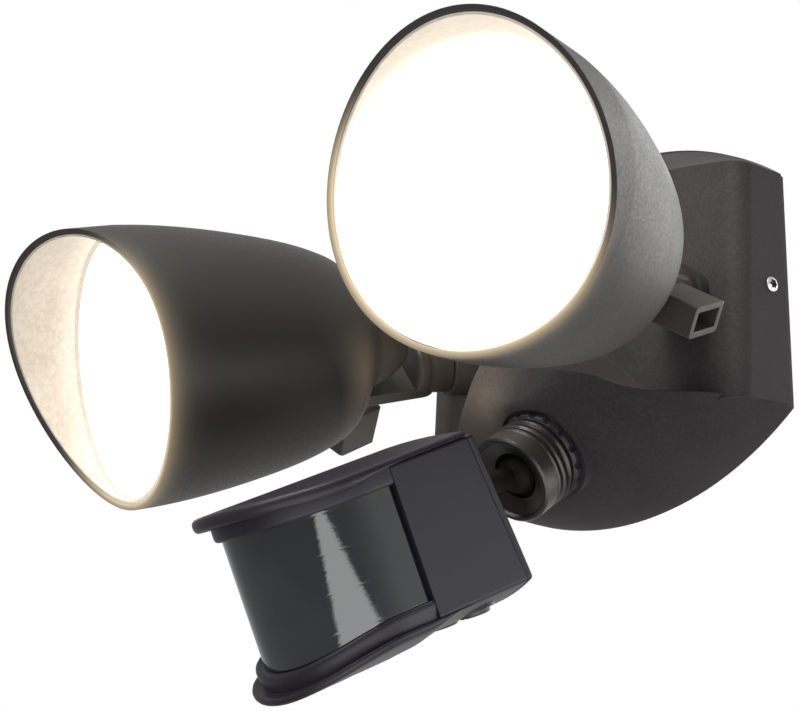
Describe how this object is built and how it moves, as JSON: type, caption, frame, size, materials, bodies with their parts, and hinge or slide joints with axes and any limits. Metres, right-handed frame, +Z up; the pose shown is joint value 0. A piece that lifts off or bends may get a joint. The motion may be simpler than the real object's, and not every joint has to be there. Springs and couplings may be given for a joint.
{
  "type": "motion sensor security light",
  "caption": "Wall-mounted security light with twin hooded lamp heads on jointed arms and an aimable motion sensor on a ball joint below the housing.",
  "frame": {"origin": "centre of the wall screw pattern, on the wall plane", "axes": "+X right facing the wall, +Y into the wall, +Z up"},
  "size_m": [0.3157, 0.2086, 0.238],
  "materials": {
    "charcoal_paint": "satin, fine speckle",
    "charcoal_plastic": "fine texture",
    "black_paint": "satin",
    "black_plastic": "matte",
    "cream_paint": "matte, mottled",
    "diffuser": "frosted, lit",
    "smoked_lens": "smoked, ribbed inside",
    "zinc_steel": "zinc plated",
    "bright_screw": "polished",
    "raw_aluminium": "bare",
    "brass_part": "bare",
    "seal_rubber": "matte",
    "driver_case": "matte",
    "pale_plastic": "matte",
    "mirror_plastic": "metallised",
    "board_green": "coated board"
  },
  "bodies": {
    "fixture": {"wall_bracket": "zinc_steel", "wall_gasket": "seal_rubber", "housing_shell": "charcoal_paint", "side_screws": "bright_screw", "lug_nuts": "zinc_steel", "led_driver": "driver_case", "terminal_block": "pale_plastic", "terminal_screws": "brass_part", "earth_screw": "brass_part", "sensor_socket": "charcoal_plastic", "socket_nut": "charcoal_plastic"},
    "right_arm_body": {"right_arm": "black_paint", "right_arm_nut": "zinc_steel"},
    "right_lamp": {"right_lamp_shell": "black_paint", "right_hood_liner": "cream_paint", "right_lens_gasket": "seal_rubber", "right_lens": "diffuser", "right_reflector": "mirror_plastic", "right_led_board": "board_green", "right_heat_sink": "raw_aluminium", "right_board_screws": "bright_screw"},
    "right_knob": {"right_tilt_bolt": "zinc_steel", "right_tilt_knob": "black_plastic"},
    "left_arm_body": {"left_arm": "black_paint", "left_arm_nut": "zinc_steel"},
    "left_lamp": {"left_lamp_shell": "black_paint", "left_hood_liner": "cream_paint", "left_lens_gasket": "seal_rubber", "left_lens": "diffuser", "left_reflector": "mirror_plastic", "left_led_board": "board_green", "left_heat_sink": "raw_aluminium", "left_board_screws": "bright_screw"},
    "left_knob": {"left_tilt_bolt": "zinc_steel", "left_tilt_knob": "black_plastic"},
    "collar": {"lock_collar": "charcoal_plastic"},
    "seat": {"ball_seat": "black_plastic"},
    "sensor_head": {"ball_stem": "charcoal_plastic", "stem_nut": "black_plastic", "sensor_body": "charcoal_plastic", "back_cover": "charcoal_plastic", "visor": "charcoal_plastic", "front_frame": "charcoal_plastic", "fresnel_lens": "smoked_lens", "sensor_board": "board_green", "infrared_element": "bright_screw", "trimmer_pots": "pale_plastic", "cover_screws": "bright_screw"},
    "time_knob_body": {"time_knob": "black_plastic"},
    "light_knob_body": {"light_knob": "black_plastic"},
    "range_knob_body": {"range_knob": "black_plastic"}
  },
  "joints": [
    {"name": "right_arm_swivel", "type": "hinge", "parent": "fixture", "child": "right_arm_body", "pos_m": [0.0691, -0.0563, -0.0061], "axis": [0.3354, -0.9317, -0.1392], "range_deg": [-40, 40]},
    {"name": "right_lamp_tilt", "type": "hinge", "parent": "right_arm_body", "child": "right_lamp", "pos_m": [0.07423, -0.07483, -0.01121], "axis": [0.7795, 0.3575, -0.5145], "range_deg": [-25, 8]},
    {"name": "right_tilt_knob_turn", "type": "hinge", "parent": "right_arm_body", "child": "right_knob", "pos_m": [0.07423, -0.07483, -0.01121], "axis": [0.7795, 0.3575, -0.5145], "continuous": true},
    {"name": "left_arm_swivel", "type": "hinge", "parent": "fixture", "child": "left_arm_body", "pos_m": [-0.0691, -0.0563, -0.0061], "axis": [-0.3354, -0.9317, -0.1392], "range_deg": [-40, 40]},
    {"name": "left_lamp_tilt", "type": "hinge", "parent": "left_arm_body", "child": "left_lamp", "pos_m": [-0.07394, -0.07497, -0.01099], "axis": [0.6993, -0.3453, 0.6259], "range_deg": [-25, 8]},
    {"name": "left_tilt_knob_turn", "type": "hinge", "parent": "left_arm_body", "child": "left_knob", "pos_m": [-0.07394, -0.07497, -0.01099], "axis": [-0.6993, 0.3453, -0.6259], "continuous": true},
    {"name": "collar_turn", "type": "hinge", "parent": "fixture", "child": "collar", "pos_m": [0, -0.0643, -0.0675], "axis": [0, -0.8028, -0.5962], "continuous": true},
    {"name": "sensor_swivel", "type": "hinge", "parent": "fixture", "child": "seat", "pos_m": [0, -0.05812, -0.06291], "axis": [0, -0.8028, -0.5962], "range_deg": [-30, 30]},
    {"name": "sensor_tilt", "type": "hinge", "parent": "seat", "child": "sensor_head", "pos_m": [0, -0.05812, -0.06291], "axis": [1, 0, 0], "range_deg": [-4, 20]},
    {"name": "time_knob_turn", "type": "hinge", "parent": "sensor_head", "child": "time_knob_body", "pos_m": [-0.018, -0.09848, -0.12453], "axis": [0, 0.4258, -0.9048], "range_deg": [-135, 135]},
    {"name": "light_knob_turn", "type": "hinge", "parent": "sensor_head", "child": "light_knob_body", "pos_m": [0, -0.09766, -0.12627], "axis": [0, 0.4258, -0.9048], "range_deg": [-135, 135]},
    {"name": "range_knob_turn", "type": "hinge", "parent": "sensor_head", "child": "range_knob_body", "pos_m": [0.018, -0.09848, -0.12453], "axis": [0, 0.4258, -0.9048], "range_deg": [-135, 135]}
  ]
}
